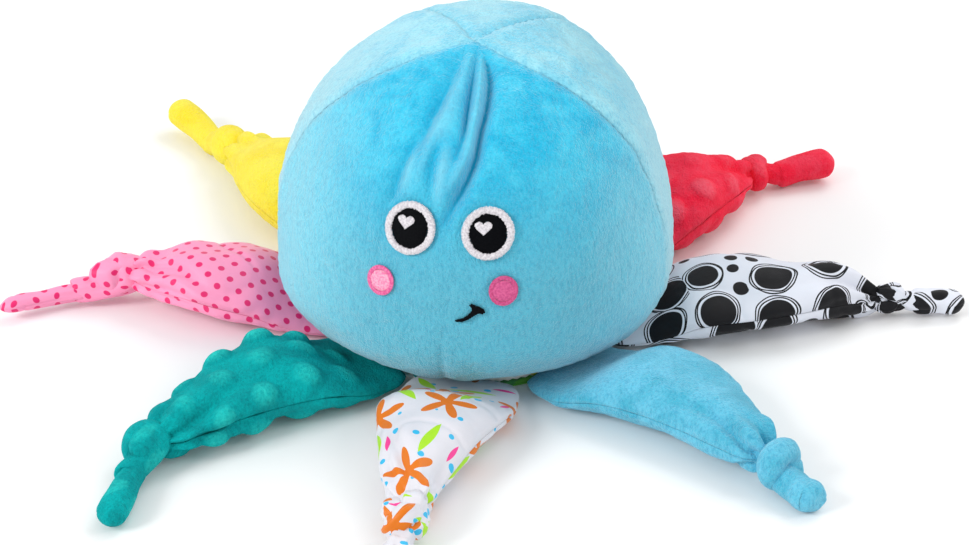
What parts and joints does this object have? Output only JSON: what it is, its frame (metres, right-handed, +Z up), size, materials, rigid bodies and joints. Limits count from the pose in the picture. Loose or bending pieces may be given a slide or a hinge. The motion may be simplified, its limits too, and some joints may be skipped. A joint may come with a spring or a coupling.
{
  "type": "plush octopus",
  "caption": "Seated stuffed plush octopus with a round embroidered head on a flat base and knotted fabric legs that lift and hang at their root seams.",
  "frame": {"origin": "middle of the flat underside of the base panel", "axes": "+Z up from the surface that the toy sits on, -Y the way the face looks, +X to the toy's own left"},
  "size_m": [0.3629, 0.3478, 0.1257],
  "materials": {
    "head_plush": "short cut pile plush, matt with a soft sheen",
    "stuffing": "loose polyester fibre fill",
    "band_print": "woven cotton printed with patches of colour",
    "black_white_satin": "smooth satin printed with black discs and rings on white",
    "red_minky": "dimpled minky pile",
    "green_plush": "short cut pile plush",
    "yellow_plush": "short cut pile plush",
    "pink_dot_satin": "smooth satin with pin dots",
    "teal_minky": "dimpled minky pile",
    "white_print_satin": "smooth satin printed with sprigs, drops and dashes",
    "blue_plush": "short cut pile plush",
    "white_thread": "satin stitch embroidery",
    "black_thread": "satin stitch embroidery",
    "pink_thread": "satin stitch embroidery"
  },
  "bodies": {
    "head": {"head_face_panel": "head_plush", "head_left_panel": "head_plush", "head_right_panel": "head_plush", "head_back_panel": "head_plush", "head_stuffing": "stuffing", "base_panel": "band_print", "base_band": "band_print", "eye_ring_left": "white_thread", "pupil_left": "black_thread", "eye_heart_left": "white_thread", "eye_ring_right": "white_thread", "pupil_right": "black_thread", "eye_heart_right": "white_thread", "cheek_left": "pink_thread", "cheek_right": "pink_thread", "smile": "black_thread"},
    "leg_black_white": {"leg_black_white_upper": "black_white_satin", "leg_black_white_under": "black_white_satin", "leg_black_white_fill": "stuffing", "leg_black_white_knot": "black_white_satin"},
    "tail_black_white": {"leg_black_white_tail": "black_white_satin"},
    "leg_red": {"leg_red_upper": "red_minky", "leg_red_under": "red_minky", "leg_red_fill": "stuffing", "leg_red_knot": "red_minky"},
    "tail_red": {"leg_red_tail": "red_minky"},
    "leg_green": {"leg_green_upper": "green_plush", "leg_green_under": "green_plush", "leg_green_fill": "stuffing", "leg_green_knot": "green_plush"},
    "tail_green": {"leg_green_tail": "green_plush"},
    "leg_yellow": {"leg_yellow_upper": "yellow_plush", "leg_yellow_under": "yellow_plush", "leg_yellow_fill": "stuffing", "leg_yellow_knot": "yellow_plush"},
    "tail_yellow": {"leg_yellow_tail": "yellow_plush"},
    "leg_pink": {"leg_pink_upper": "pink_dot_satin", "leg_pink_under": "pink_dot_satin", "leg_pink_fill": "stuffing", "leg_pink_knot": "pink_dot_satin"},
    "tail_pink": {"leg_pink_tail": "pink_dot_satin"},
    "leg_teal": {"leg_teal_upper": "teal_minky", "leg_teal_under": "teal_minky", "leg_teal_fill": "stuffing", "leg_teal_knot": "teal_minky"},
    "tail_teal": {"leg_teal_tail": "teal_minky"},
    "leg_white": {"leg_white_upper": "white_print_satin", "leg_white_under": "white_print_satin", "leg_white_fill": "stuffing", "leg_white_knot": "white_print_satin"},
    "tail_white": {"leg_white_tail": "white_print_satin"},
    "leg_blue": {"leg_blue_upper": "blue_plush", "leg_blue_under": "blue_plush", "leg_blue_fill": "stuffing", "leg_blue_knot": "blue_plush"},
    "tail_blue": {"leg_blue_tail": "blue_plush"}
  },
  "joints": [
    {"name": "leg_black_white_lift", "type": "hinge", "parent": "head", "child": "leg_black_white", "pos_m": [0.05092, 0.00356, 0.00362], "axis": [0.2079, -0.9781, 0], "range_deg": [-75, 15]},
    {"name": "tail_black_white_flop", "type": "hinge", "parent": "leg_black_white", "child": "tail_black_white", "pos_m": [0.16791, 0.02754, 0.0061], "axis": [0.1392, -0.9903, 0], "range_deg": [-60, 60]},
    {"name": "leg_red_lift", "type": "hinge", "parent": "head", "child": "leg_red", "pos_m": [0.03349, 0.03853, 0.00362], "axis": [0.7547, -0.6561, 0], "range_deg": [-75, 15]},
    {"name": "tail_red_flop", "type": "hinge", "parent": "leg_red", "child": "tail_red", "pos_m": [0.11112, 0.12105, 0.0061], "axis": [0.4848, -0.8746, 0], "range_deg": [-60, 60]},
    {"name": "leg_green_lift", "type": "hinge", "parent": "head", "child": "leg_green", "pos_m": [-0.00356, 0.05092, 0.00362], "axis": [0.9976, 0.0698, 0], "range_deg": [-75, 15]},
    {"name": "tail_green_flop", "type": "hinge", "parent": "leg_green", "child": "tail_green", "pos_m": [-0.01274, 0.16135, 0.0061], "axis": [0.9848, 0.1736, 0], "range_deg": [-60, 60]},
    {"name": "leg_yellow_lift", "type": "hinge", "parent": "head", "child": "leg_yellow", "pos_m": [-0.03853, 0.03349, 0.00362], "axis": [0.6691, 0.7431, 0], "range_deg": [-75, 15]},
    {"name": "tail_yellow_flop", "type": "hinge", "parent": "leg_yellow", "child": "tail_yellow", "pos_m": [-0.12786, 0.1149, 0.0061], "axis": [0.7071, 0.7071, 0], "range_deg": [-60, 60]},
    {"name": "leg_pink_lift", "type": "hinge", "parent": "head", "child": "leg_pink", "pos_m": [-0.05092, -0.00356, 0.00362], "axis": [0, 1, 0], "range_deg": [-75, 15]},
    {"name": "tail_pink_flop", "type": "hinge", "parent": "leg_pink", "child": "tail_pink", "pos_m": [-0.15059, -0.01029, 0.0061], "axis": [-0.4695, 0.8829, 0], "range_deg": [-60, 60]},
    {"name": "leg_teal_lift", "type": "hinge", "parent": "head", "child": "leg_teal", "pos_m": [-0.03349, -0.03853, 0.00362], "axis": [-0.7431, 0.6691, 0], "range_deg": [-75, 15]},
    {"name": "tail_teal_flop", "type": "hinge", "parent": "leg_teal", "child": "tail_teal", "pos_m": [-0.10159, -0.12636, 0.0061], "axis": [-0.9962, 0.0872, 0], "range_deg": [-60, 60]},
    {"name": "leg_white_lift", "type": "hinge", "parent": "head", "child": "leg_white", "pos_m": [0.00356, -0.05092, 0.00362], "axis": [-0.9976, 0.0698, 0], "range_deg": [-75, 15]},
    {"name": "tail_white_flop", "type": "hinge", "parent": "leg_white", "child": "tail_white", "pos_m": [-0.00376, -0.15555, 0.0061], "axis": [-0.9976, 0.0698, 0], "range_deg": [-60, 60]},
    {"name": "leg_blue_lift", "type": "hinge", "parent": "head", "child": "leg_blue", "pos_m": [0.03853, -0.03349, 0.00362], "axis": [-0.6018, -0.7986, 0], "range_deg": [-75, 15]},
    {"name": "tail_blue_flop", "type": "hinge", "parent": "leg_blue", "child": "tail_blue", "pos_m": [0.12841, -0.10488, 0.0061], "axis": [-0.7547, -0.6561, 0], "range_deg": [-60, 60]}
  ]
}
